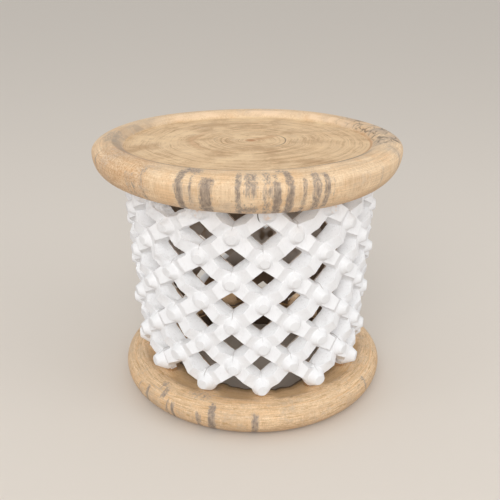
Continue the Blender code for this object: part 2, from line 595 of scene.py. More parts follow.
@dataclass(frozen=True)
class SeatWood(SolidWood):
    """The seat's wood: pith and ring cracks in the dish, checks and speckle on the rim, painted shade and a
    painted highlight on the rim and at the dish's edge.
    """

    worn: Colour = (0.87, 0.595, 0.315)
    fresh: Colour = (0.91, 0.66, 0.39)
    ring: Colour = (0.43, 0.245, 0.105)
    shaded_slope: Colour = (0.47, 0.36, 0.255)
    pith: Colour = (0.50, 0.235, 0.09)
    back_slope_highlight: Colour = (0.95, 0.70, 0.47)
    ring_lines: tuple[tuple[float, float], ...] = ((0.0085, 0.32), (0.0030, 0.80), (0.0013, 0.95))
    crack_reach: float = 0.0455
    shadow_reach: float = 0.076

    def marks(self, graph: Graph, grain: Grain, colour: Value) -> Value:
        """Return the colour with the marks of the dish and the rim."""
        return self.rim_marks(graph, grain, self.dish_marks(graph, grain, colour))

    def dish_marks(self, graph: Graph, grain: Grain, colour: Value) -> Value:
        """Return the colour with the marks of the dish's floor.

        Args:
            graph: the shader's graph.
            grain: the point.
            colour: the clean wood's colour.

        Returns:
            The colour.
        """
        place, reach = grain.place, grain.reach
        floor = grain.level.step(1.40, 1.60)
        wobble = (graph.noise(place, 60.0, 3.0) - 0.5) * 0.006
        colour = graph.mix(floor * 0.5, colour, self.worn)
        faded = 0.35 + graph.noise(place, 34.0, 3.0, 0.6).step(0.42, 0.60) * 0.65
        for gap, share in self.ring_lines:
            lines = graph.noise(graph.vector((reach + wobble) / gap, grain.cloud * 3.0, gap), 1.0, 2.0, 0.6)
            colour = graph.mix(lines.step(0.48, 0.74) * floor * faded * share, colour, self.ring)
        patches = graph.noise(place, 15.0, 6.0, 0.68)
        beam = (grain.facing(132.0) * reach).band(0.0, 0.008, 0.030, 0.062)
        beam = beam * abs(grain.facing(42.0) * reach + wobble).step(0.010, 0.001)
        heart = (reach + wobble * 0.5).step(0.011, 0.003)
        shadow = abs(reach - self.shadow_reach + wobble).step(0.008, 0.001)
        shadow = shadow * grain.facing(-90.0).step(0.70, 0.95)
        crack = abs(reach - self.crack_reach + wobble * 0.2).step(0.0013, 0.0003)
        open_crack = 0.15 + faded * 0.15 + grain.facing(90.0).step(0.62, 0.90) * 0.55
        # Painted shade: darker in the corner where the floor meets the rim, mostly towards the front, and a
        # dark line along the front inner slope where the rim hides the floor.
        gutter_shade = grain.level.band(1.42, 1.49, 1.58, 1.80) * grain.facing(20.0).step(-0.35, 0.25)
        brink_shade = (grain.level + wobble * 8.0).band(1.00, 1.12, 1.36, 1.46)
        brink_shade = brink_shade * grain.facing(-10.0).step(0.20, 0.65)
        return graph.layers(
            colour,
            (patches.step(0.50, 0.64) * floor * 0.55, self.ring),
            (patches.step(0.48, 0.37) * floor * 0.75, self.fresh),
            ((beam * 0.50).most(heart * 0.95) * floor, self.pith),
            (shadow * floor * 0.35, self.pith),
            (crack * open_crack * floor, self.dark),
            (gutter_shade * grain.cloud.step(0.25, 0.55) * 0.6, self.pith),
            (brink_shade * grain.cloud.step(0.26, 0.46) * 0.8, self.dark),
        )

    def rim_marks(self, graph: Graph, grain: Grain, colour: Value) -> Value:
        """Return the colour with the marks of the rim.

        Args:
            graph: the shader's graph.
            grain: the point.
            colour: the colour without them.

        Returns:
            The colour.
        """
        place, level = grain.place, grain.level
        rim = level.step(1.48, 1.38)
        behind = grain.facing(98.0).step(0.82, 0.93) * rim * level.step(0.15, 0.55)
        haze = graph.noise(place, 33.0, 4.0, 0.6)
        warp = graph.scaled(graph.other(graph.noise(place, 40.0, 2.0), "Color"), 0.022)
        warped = {"Vector": graph.vectors("ADD", place, warp), "Scale": 64.0}
        cells = graph.node("ShaderNodeTexVoronoi", "Distance", {"feature": "DISTANCE_TO_EDGE"}, warped)
        broken = graph.noise(place, 75.0, 3.0, 0.7).step(0.40, 0.54)
        # Painted shade on the left inner slope of the rim.
        left_slope_shade = level.band(1.04, 1.14, 1.44, 1.52) * grain.facing(-82.0).step(0.55, 0.85)
        # Painted highlight on the back inner slope of the rim.
        back_slope_highlight = level.step(1.10, 1.20) * rim * grain.facing(172.0).step(0.25, 0.75)
        pits = graph.noise(place, 480.0, 3.0, 0.7).step(0.48, 0.60)
        return graph.layers(
            colour,
            (behind * haze.step(0.42, 0.62) * 0.5, self.stain_pale),
            (behind * cells.step(0.12, 0.03) * broken * 0.8, self.dark),
            (left_slope_shade * (0.40 + haze.step(0.45, 0.60) * 0.40), self.shaded_slope),
            (back_slope_highlight * (0.2 + haze.step(0.44, 0.58) * 0.5), self.back_slope_highlight),
            # Painted shade: the rim's underside darker.
            (level.step(-0.45, -1.0) * 0.55, self.deep),
            (grain.facing(-51.0).step(0.94, 0.98) * rim * pits * 0.6, self.pith),
        )


@dataclass(frozen=True)
class BaseWood(SolidWood):
    """The base ring's wood: lines that run round it, darker scoops between the feet, a raw bore, and painted
    shade under the wall and in the bore.
    """

    pale: Colour = (0.828, 0.617, 0.398)
    dull: Colour = (0.52, 0.405, 0.29)
    scooped: Colour = (0.50, 0.315, 0.15)
    scoop_floor: Colour = (0.74, 0.49, 0.25)
    hewn: Colour = (0.13, 0.088, 0.056)

    @staticmethod
    def around(graph: Graph, grain: Grain, across: float, along: float, detail: float) -> Value:
        """Return a noise drawn out round the ring.

        Args:
            graph: the shader's graph.
            grain: the point.
            across: cells round the ring.
            along: cells up its side.
            detail: octaves.

        Returns:
            The noise, from 0 to 1.
        """
        place = graph.vector(grain.facing(90.0) * across, grain.facing(0.0) * across, grain.level * along)
        return graph.noise(place, 1.0, detail, 0.75)

    def marks(self, graph: Graph, grain: Grain, colour: Value) -> Value:
        """Return the colour with the marks of the ring.

        Args:
            graph: the shader's graph.
            grain: the point.
            colour: the clean wood's colour.

        Returns:
            The colour.
        """
        lines = self.around(graph, grain, 2.5, 14.0, 5.0)
        dash = self.around(graph, grain, 9.0, 24.0, 4.0)
        blotch = graph.noise(grain.place, 70.0, 6.0, 0.78)
        ragged = grain.level + (grain.speck - 0.5) * 0.25 + (grain.cloud - 0.5) * 0.3
        return graph.layers(
            colour,
            (lines.step(0.52, 0.66) * 0.95, self.warm),
            (lines.step(0.43, 0.29) * 0.95, self.dull),
            (grain.speck.step(0.50, 0.62) * 0.35, self.scooped),
            (blotch.step(0.51, 0.64) * 0.5, self.dull),
            (dash.step(0.51, 0.64) * 0.95, self.scooped),
            (dash.step(0.62, 0.74) * blotch.step(0.42, 0.55) * 0.6, self.hewn),
            (self.mark(graph, "scoop").step(0.10, 0.45) * 0.55, self.scoop_floor),
            # Darker towards the bore: partly the raw hewn edge, partly painted shade under the wall; the
            # bore's wall and the underside are dark, partly as painted shade.
            (ragged.step(1.38, 1.46) * 0.8, self.scooped),
            (ragged.step(1.50, 1.56) * 0.9, self.hewn),
            (grain.level.step(-1.3, -1.7), self.hewn),
        )


@dataclass(frozen=True)
class ChalkPaint(Finish):
    """Chalky white paint on the outside of the wall and bare dark wood on its inner face."""

    wall: OpenworkWall
    name: str = "chalk_paint"
    white: Colour = (0.885, 0.885, 0.890)
    flank_light: Colour = (0.955, 0.955, 0.960)
    dusty: Colour = (0.70, 0.69, 0.68)
    crack_and_shade_grey: Colour = (0.42, 0.385, 0.36)
    rubbed: Colour = (0.80, 0.56, 0.38)
    bare_low: Colour = (0.22, 0.155, 0.105)
    bare_high: Colour = (0.38, 0.30, 0.235)
    bare_edge: Colour = (0.42, 0.25, 0.12)
    pale_patch: Colour = (0.88, 0.83, 0.78)
    split: Colour = (0.06, 0.04, 0.028)
    knob_gap: float = 0.0128
    roughness: float = 0.78

    def upright(self, graph: Graph, place: Value) -> tuple[Value, Value, Value]:
        """Return where a point would be if the foot of the wall stood right below its top.

        Args:
            graph: the shader's graph.
            place: the point.

        Returns:
            X, Y and Z.
        """
        x, y, z = graph.split(place)
        drop = self.wall.top_z - z
        return x - drop * self.wall.shear[0], y - drop * self.wall.shear[1], z

    def crossing(self, graph: Graph, place: Value) -> tuple[Value, Value, Value, Value]:
        """Return where a point lies on the lattice.

        Args:
            graph: the shader's graph.
            place: the point.

        Returns:
            How far it lies aside of and below its nearest crossing, and its column and level.
        """
        wall = self.wall
        x, y, z = self.upright(graph, place)
        turn = graph.math("ARCTAN2", x, y * -1.0)
        wander = wall.wander(turn, z) + wall.drawn_in(turn, z) * math.radians(wall.foot_twist)
        column = (turn - wander - math.radians(wall.drift_mean)) * (2 * wall.repeats / math.tau)
        level = (wall.top_z - z) / wall.rise
        first = (column + level) * 0.5
        second = (column - level) * 0.5
        first_left = first - (first + 0.5).floor()
        second_left = second - (second + 0.5).floor()
        aside = (first_left + second_left) * wall.pitch
        below = (first_left - second_left) * wall.rise
        return aside, below, column, level

    def painted(self, graph: Graph, place: Value, depth: Value) -> Value:
        """Return the colour of the paint.

        Args:
            graph: the shader's graph.
            place: the point.
            depth: how far it stands out from the wall's inner face.

        Returns:
            The colour.
        """
        flank = self.mark(graph, "flank")
        side = flank.step(0.45, 0.80)
        dust = graph.noise(place, 55.0, 5.0, 0.6)
        brush = graph.drawn(place, 520.0, 90.0, 3.0, 0.6)
        # Painted shade: the knobs' outer tips darker.
        tip_shade = depth.step(0.0224, 0.0238) * flank.step(0.35, 0.15)
        aside, below, column, level = self.crossing(graph, place)
        wobble = (graph.noise(place, 120.0, 2.0) - 0.5) * 0.005
        chance = graph.noise(graph.vector(column * 0.7, level * 0.7, 3.0), 1.0, 1.0)
        crease = abs(aside + wobble).step(0.0010, 0.0002) * below.band(-0.022, -0.018, -0.012, -0.009)
        round_knob = (aside * aside + below * below).root()
        top_row = level.step(0.40, 0.15)
        rub = top_row * round_knob.step(0.009, 0.004) * graph.noise(place, 140.0, 3.0).step(0.50, 0.66)
        gap = abs(round_knob - self.knob_gap).step(0.0009, 0.0003) * top_row * abs(column).step(0.6, 0.5)
        return graph.layers(
            self.white,
            # Painted light: the window walls made lighter.
            (side * 0.85, self.flank_light),
            (dust.step(0.52, 0.80) * 0.4, self.dusty),
            (brush.step(0.54, 0.72) * (0.25 + side * 0.25), self.dusty),
            (tip_shade * 0.35, self.dusty),
            # Painted shade: darker in the hollows.
            (self.mark(graph, "hollow").step(0.30, 0.9) * 0.22, self.crack_and_shade_grey),
            (crease * chance.step(0.30, 0.65) * 0.6, self.crack_and_shade_grey),
            (rub * 0.6, self.rubbed),
            (gap * aside.step(-0.001, -0.004) * below.step(-0.006, -0.002), self.split),
        )

    def shader(self, graph: Graph) -> Value:
        """Return the paint's shader.

        Args:
            graph: the shader's graph.

        Returns:
            The shader.
        """
        wall = self.wall
        place = self.place(graph)
        x, y, z = self.upright(graph, place)
        reach = (x * x + y * y).root()
        beside = wall.drawn_in(graph.math("ARCTAN2", x, y * -1.0), z)
        inner_foot = wall.foot_radius - wall.depth
        depth = reach - (inner_foot - wall.taper * wall.foot_z) - z * wall.taper + beside * wall.foot_pull
        ragged = graph.noise(place, 90.0, 4.0, 0.6) - 0.5
        cover = (depth + ragged * 0.004).step(0.0008, 0.0018)
        cover = cover * (z + ragged * 0.003).step(wall.foot_z - 0.0150, wall.foot_z - 0.0140)
        fibre = graph.drawn(graph.vector(x, y, z), 300.0, 12.0)
        # Painted shade: the bare inner face darker towards the bottom.
        bare = graph.mix(z.step(0.08, 0.27), self.bare_low, self.bare_high)
        colour = graph.layers(
            graph.scaled(bare, 0.6 + fibre * 0.8),
            # Pale patches on the inner face, above the lowest rows.
            (graph.noise(place, 24.0, 2.0).step(0.40, 0.46) * z.step(0.09, 0.13) * 0.9, self.pale_patch),
            (depth.step(-0.0005, 0.0015), self.bare_edge),
            (cover, self.painted(graph, place, depth)),
        )
        normal = self.bump(graph, graph.noise(place, 240.0, 4.0, 0.6), 0.0006, 0.35)
        return self.surface(graph, colour, self.roughness, Normal=normal, IOR=1.4)


@dataclass(frozen=True)
class PalePaper(Finish):
    """Plain pale sheet that the stool stands on, which throws back less light than it shows."""

    name: str = "pale_paper"
    seen: Colour = (0.74, 0.68, 0.61)
    thrown: Colour = (0.46, 0.41, 0.37)
    roughness: float = 0.9

    def shader(self, graph: Graph) -> Value:
        """Return the sheet's shader."""
        colour = graph.mix(graph.node("ShaderNodeLightPath", "Is Camera Ray"), self.thrown, self.seen)
        return self.surface(graph, colour, self.roughness)


def placed(name: str, data: bpy.types.ID) -> bpy.types.Object:
    """Return a new object in the scene.

    Args:
        name: its name.
        data: its mesh, lamp or camera.

    Returns:
        The object.
    """
    made = bpy.data.objects.new(name, data)
    bpy.context.scene.collection.objects.link(made)
    return made


def baked(obj: bpy.types.Object) -> bpy.types.Mesh:
    """Return an object's mesh with its modifiers applied."""
    graph = bpy.context.evaluated_depsgraph_get()
    return bpy.data.meshes.new_from_object(obj.evaluated_get(graph))


def roll(
    centre: tuple[float, float], bulge: float, rise: float, start: float, stop: float, count: int
) -> list:
    """Return points of a rounded side.

    Args:
        centre: radius and height of the roll's middle.
        bulge: how far it stands out.
        rise: how far it stands up, or down.
        start: first angle, in degrees from the outermost point.
        stop: last angle.
        count: number of steps.

    Returns:
        Points of radius and height.
    """
    angles = np.radians(np.linspace(start, stop, count + 1))
    return list(zip(centre[0] + bulge * np.cos(angles), centre[1] + rise * np.sin(angles)))


def run(start: tuple[float, float], stop: tuple[float, float], count: int) -> list:
    """Return points of a straight stretch, without its last one."""
    shares = np.linspace(0.0, 1.0, count + 1)[:-1, None]
    return [tuple(point) for point in (1 - shares) * np.array(start) + shares * np.array(stop)]


def turned_mesh(name: str, points: np.ndarray, closed: bool) -> bpy.types.Mesh:
    """Return the mesh of a turned piece.

    Args:
        name: the mesh's name.
        points: places by profile step and turn step.
        closed: True joins the last profile step to the first, False closes both ends with a pole.

    Returns:
        The mesh, smooth, with faces outward.
    """
    steps, turns = points.shape[:2]
    index = np.arange(steps * turns).reshape(steps, turns)
    ahead = np.roll(index, -1, axis=1)
    upper = index if closed else index[:-1]
    lower = np.roll(index, -1, axis=0) if closed else index[1:]
    upper_ahead = ahead if closed else ahead[:-1]
    lower_ahead = np.roll(ahead, -1, axis=0) if closed else ahead[1:]
    quads = np.stack([upper, lower, lower_ahead, upper_ahead], axis=-1).reshape(-1, 4).tolist()
    places = points.reshape(-1, 3).tolist()
    if not closed:
        for ring, nexts in ((index[0], ahead[0]), (ahead[-1], index[-1])):
            pole = len(places)
            places.append(points.reshape(-1, 3)[ring].mean(axis=0).tolist())
            quads += [[pole, first, second] for first, second in zip(ring.tolist(), nexts.tolist())]
    mesh = bpy.data.meshes.new(name)
    mesh.from_pydata(places, [], quads)
    mesh.shade_smooth()
    return mesh


def show(
    name: str, mesh: bpy.types.Mesh, finish: Finish, nodes: Sequence[str]
) -> bpy.types.Object:
    """Put a finished mesh in the scene.

    Args:
        name: the piece's name.
        mesh: its mesh.
        finish: its finish.
        nodes: the solids that it stands for.

    Returns:
        The piece.
    """
    piece = placed(name, mesh)
    mesh.materials.clear()
    mesh.materials.append(finish.material())
    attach(piece, BODY)
    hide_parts(*nodes)
    return piece


@dataclass(frozen=True)
class Streak:
    """A grey stain that runs down a rounded side, placed by the turn from the viewer."""

    turn: float
    width: float
    strength: float
    top: float = 1.0
    bottom: float = -1.0
    waver: float = 0.22
    soft_end: float = 0.25

    def over(self, turn: np.ndarray, level: np.ndarray) -> np.ndarray:
        """Return the stain's strength.

        Args:
            turn: turns in radians.
            level: place on the side, 1 at its crown, 0 at its widest and -1 underneath.

        Returns:
            Strength from 0 to 1.
        """
        centre = np.radians(self.turn + VIEWER.turn + self.waver * np.sin(3.0 * level + self.turn))
        aside = np.abs(np.angle(np.exp(1j * (turn - centre)))) / math.radians(self.width / 2)
        ends = np.clip((self.top - level) / self.soft_end, 0, 1)
        ends = ends * np.clip((level - self.bottom) / self.soft_end, 0, 1)
        return self.strength * np.clip(1.75 - 1.2 * aside, 0, 1) * ends


def store(mesh: bpy.types.Mesh, name: str, values: np.ndarray) -> None:
    """Store a number for each point of a turned mesh; its poles get 0.

    Args:
        mesh: the mesh.
        name: the attribute's name.
        values: numbers by profile step and turn step.
    """
    filled = np.zeros(len(mesh.vertices), dtype=np.float32)
    filled[: values.size] = values.ravel()
    mesh.attributes.new(name, "FLOAT", "POINT").data.foreach_set("value", filled)


def store_side(mesh: bpy.types.Mesh, streaks: Sequence[Streak], turn: np.ndarray, level: np.ndarray) -> None:
    """Store the stains of a turned mesh, and where its points lie on the rounded side.

    Args:
        mesh: the mesh.
        streaks: the stains.
        turn: the turn of each turn step, in radians.
        level: the place on the side of each profile step.
    """
    store(mesh, "stain", np.max([streak.over(turn[None, :], level[:, None]) for streak in streaks], axis=0))
    store(mesh, "level", np.repeat(level[:, None], len(turn), axis=1))


SEAT_STREAKS = (
    Streak(-88.0, 26.0, 0.45, 1.45, 0.6),
    Streak(-66.0, 1.2, 0.6, 0.7, -0.4),
    Streak(-61.0, 1.0, 0.55, 0.4),
    Streak(-54.5, 1.2, 0.55, 0.0),
    Streak(-41.0, 5.0, 0.42, 0.35),
    Streak(-35.6, 1.8, 0.55, 0.8),
    Streak(-21.3, 2.6, 0.9),
    Streak(-18.5, 6.5, 0.75, 1.2, 0.55),
    Streak(-17.6, 1.2, 0.55, 0.8, -0.6),
    Streak(-12.4, 4.0, 1.0, 0.65, -0.9),
    Streak(-2.2, 2.0, 0.75),
    Streak(1.5, 4.0, 0.72, 0.95, -0.3),
    Streak(0.6, 7.0, 0.78, -0.25, -0.8),
    Streak(6.6, 2.6, 0.58),
    Streak(9.6, 1.8, 0.6, 0.9, 0.3),
    Streak(9.6, 2.6, 1.0, 0.5),
    Streak(11.6, 4.0, 0.75, 1.1, 0.65),
    Streak(13.7, 2.5, 0.9),
    Streak(18.6, 1.5, 0.75, 0.6),
    Streak(22.8, 2.8, 0.72, 0.8),
    Streak(26.2, 2.1, 0.85, 0.7, -0.8),
    Streak(29.0, 1.0, 0.4, 0.5, -0.5),
    Streak(52.0, 1.0, 0.45, 0.3, -0.6),
    Streak(68.0, 1.4, 0.6, 0.5, -0.5),
    Streak(106.0, 2.4, 0.55, 0.7),
    Streak(127.0, 4.0, 0.5, 0.9),
    Streak(141.0, 1.5, 0.6, 0.4),
    Streak(163.0, 3.0, 0.65),
    Streak(170.0, 1.6, 0.5, 0.5),
    Streak(196.0, 5.0, 0.5, 0.8),
    Streak(222.0, 2.0, 0.6),
    Streak(247.0, 2.8, 0.5, 0.6),
)


@dataclass
class Seat:
    """The round seat: flat dish, rolled rim and plain underside."""

    radius: float
    under_z: float
    top_z: float
    rim_bulge: float = 0.0235
    rim_shoulder: float = 0.014
    rim_width: float = 0.040
    dish_depth: float = 0.009
    pole_radius: float = 0.002
    aside: float = -0.0049
    heart_right: float = 0.0045
    heart_back: float = 0.0056
    lean_right: float = 0.0083
    lean_front: float = 0.0212
    turns: int = 540
    floor_steps: int = 44
    slope_steps: int = 12
    shoulder_steps: int = 18
    skirt_steps: int = 30
    under_steps: int = 24
    waves: tuple[Wave, ...] = (Wave(0.0008, 2, 20.0), Wave(0.0006, 3, 140.0), Wave(0.0004, 5, 60.0))
    skirt_wave: Wave = Wave(0.0025, 2, 210.0)
    dish_wave: Wave = Wave(0.0026, 2, -80.0)

    def profile(self) -> tuple[np.ndarray, np.ndarray]:
        """Return the half section and the place of each point on the rim's side."""
        crown = self.radius - self.rim_bulge
        widest = self.top_z - self.rim_shoulder
        floor = self.top_z - self.dish_depth
        dish = self.radius - self.rim_width
        pole = (self.pole_radius, self.under_z)
        flat = run((self.pole_radius, floor), (dish, floor), self.floor_steps)
        shares = np.linspace(0.0, 1.0, self.slope_steps + 1)[:-1]
        roll_in = 1 - (1 - shares) ** 2
        slope = list(zip(dish + (crown - dish) * shares, floor + self.dish_depth * roll_in))
        shoulder = roll((crown, widest), self.rim_bulge, self.rim_shoulder, 90, 0, self.shoulder_steps)
        skirt = roll((crown, widest), self.rim_bulge, widest - self.under_z, 0, -90, self.skirt_steps)[1:]
        under = run((crown, self.under_z), pole, self.under_steps)[1:] + [pole]
        levels = [
            np.full(len(flat), 2.0),
            1.0 + 0.5 * (1 - shares),
            np.linspace(1.0, 0.0, len(shoulder)),
            np.linspace(0.0, -1.0, len(skirt) + 1)[1:],
            np.full(len(under), -2.0),
        ]
        return np.array(flat + slope + shoulder + skirt + under), np.concatenate(levels)

    def build(self) -> bpy.types.Object:
        """Return the finished seat."""
        points, level = self.profile()
        reach, height = points[:, :1], points[:, 1:]
        turn = np.linspace(0.0, math.tau, self.turns, endpoint=False)
        sway = sum(wave.at(turn) for wave in self.waves)
        share = np.clip((reach / self.radius) ** 2, 0, 1)
        on_floor = level > 1.5
        dished = np.where(on_floor, (points[:, 0] / points[on_floor, 0].max()) ** 4, 0.5 + (level - 1.0))
        dished = np.where(level >= 1.0, dished, np.clip(0.5 * level, 0, 1))[:, None]
        radius = reach + sway * share + dished * (self.dish_wave.at(turn) - self.dish_wave.size)
        right, towards = VIEWER.right(), VIEWER.towards()
        x = radius * np.sin(turn)
        y = -radius * np.cos(turn)
        lean = self.lean_right * (x * right.x + y * right.y)
        lean = lean + self.lean_front * (x * towards.x + y * towards.y)
        low = np.clip(-level, 0, 1)[:, None] * np.clip(reach / (self.radius - self.rim_bulge), 0, 1) ** 2
        z = height + lean + np.roll(sway, self.turns // 5) * share + self.skirt_wave.at(turn) * low
        centre = right * self.aside
        mesh = turned_mesh("seat_body", np.stack([x + centre.x, y + centre.y, z], axis=-1), False)
        store_side(mesh, SEAT_STREAKS, turn, level)
        heart = centre + right * self.heart_right - towards * self.heart_back
        wood = SeatWood("seat_honey_wood", (heart.x, heart.y))
        return show("dished_seat", mesh, wood, ["seat"])


BASE_STREAKS = (
    Streak(-56.6, 1.2, 0.6, 0.5),
    Streak(-50.3, 1.8, 0.8, 0.6),
    Streak(-44.0, 3.2, 0.7, 1.0, 0.45),
    Streak(-40.5, 2.6, 0.75, 0.9, 0.1),
    Streak(-37.7, 1.5, 0.75, 0.5),
    Streak(-34.7, 1.6, 0.95, 0.45),
    Streak(-24.0, 12.0, 0.52, 1.15, 0.6),
    Streak(-22.4, 2.0, 0.8, 0.4),
    Streak(-16.8, 3.0, 1.0, 0.8),
    Streak(0.8, 2.8, 0.85, 0.6),
    Streak(57.0, 2.0, 0.7, 0.7, -0.2),
    Streak(101.0, 2.0, 0.6, 0.6),
    Streak(135.0, 3.0, 0.6, 0.5),
    Streak(178.0, 2.2, 0.7, 0.7),
    Streak(215.0, 1.6, 0.6, 0.4),
    Streak(250.0, 2.6, 0.6, 0.6),
)


@dataclass
class BaseRing:
    """The heavy ring at the floor: rounded outer side, top scooped between the feet, rough bore."""

    radius: float
    height: float
    feet: Sequence[float]
    bulge: float = 0.026
    shoulder: float = 0.018
    top_fall: float = 0.006
    ring_width: float = 0.063
    aside: float = 0.0043
    heart_right: float = 0.006
    pad_rise: float = 0.0030
    pad_half: float = 7.5
    scoop: float = 0.0018
    scoop_edge: float = 0.012
    turns: int = 480
    top_steps: int = 24
    shoulder_steps: int = 22
    skirt_steps: int = 24
    under_steps: int = 10
    bore_steps: int = 14
    waves: tuple[Wave, ...] = (Wave(0.0006, 2, 80.0), Wave(0.0004, 5, 10.0))
    bore_waves: tuple[Wave, ...] = (
        Wave(0.0040, 1, 10.0),
        Wave(0.0020, 4, 70.0),
        Wave(0.0012, 9, 30.0),
        Wave(0.0010, 23, 0.0),
        Wave(0.0008, 41, 110.0),
    )

    def near_foot(self, turn: np.ndarray) -> np.ndarray:
        """Return 1 under a foot of the wall and 0 midway between two."""
        away = [np.angle(np.exp(1j * (turn - foot))) / math.radians(self.pad_half) for foot in self.feet]
        return np.max([np.clip(1 - way**2, 0, 1) for way in away], axis=0)

    def profile(self) -> tuple[np.ndarray, np.ndarray]:
        """Return the section, round from the bore's top edge, and the place of each point on the side."""
        crest = self.radius - self.bulge
        widest = self.height - self.shoulder
        bore = self.radius - self.ring_width
        edge = (bore, self.height - self.top_fall)
        top = run(edge, (crest, self.height), self.top_steps)
        shoulder = roll((crest, widest), self.bulge, self.shoulder, 90, 0, self.shoulder_steps)
        skirt = roll((crest, widest), self.bulge, widest, 0, -90, self.skirt_steps)[1:]
        under = run((crest, 0.0), (bore, 0.0), self.under_steps)[1:]
        wall = run((bore, 0.0), edge, self.bore_steps)
        levels = [
            np.linspace(1.6, 1.0, len(top)),
            np.linspace(1.0, 0.0, len(shoulder)),
            np.linspace(0.0, -1.0, len(skirt)),
            np.full(len(under) + len(wall), -2.0),
        ]
        return np.array(top + shoulder + skirt + under + wall), np.concatenate(levels)

    def build(self) -> bpy.types.Object:
        """Return the finished ring."""
        points, level = self.profile()
        reach, height = points[:, :1], points[:, 1:]
        bore = self.radius - self.ring_width
        turn = np.linspace(0.0, math.tau, self.turns, endpoint=False)
        out = np.clip((reach - bore) / (self.radius - bore), 0, 1)
        sway = sum(wave.at(turn) for wave in self.waves) * out
        hewn = sum(wave.at(turn) for wave in self.bore_waves) * (1 - out) ** 2
        radius = reach + sway + hewn
        centre = VIEWER.right() * self.aside
        x = radius * np.sin(turn) + centre.x
        y = -radius * np.cos(turn) + centre.y
        inward = np.clip((self.radius - self.bulge - reach) / self.scoop_edge, 0, 1)
        inward = inward * inward * (3 - 2 * inward) * np.clip(height / self.height * 2 - 1, 0, 1)
        near = self.near_foot(turn)
        z = height + inward * (self.pad_rise * near - self.scoop * (1 - near))
        mesh = turned_mesh("base_body", np.stack([x, y, z], axis=-1), True)
        store_side(mesh, BASE_STREAKS, turn, level)
        store(mesh, "scoop", inward * (1 - near))
        wood = BaseWood("base_honey_wood", (centre.x + self.heart_right, centre.y))
        return show("base_ring_body", mesh, wood, ["base_ring"])


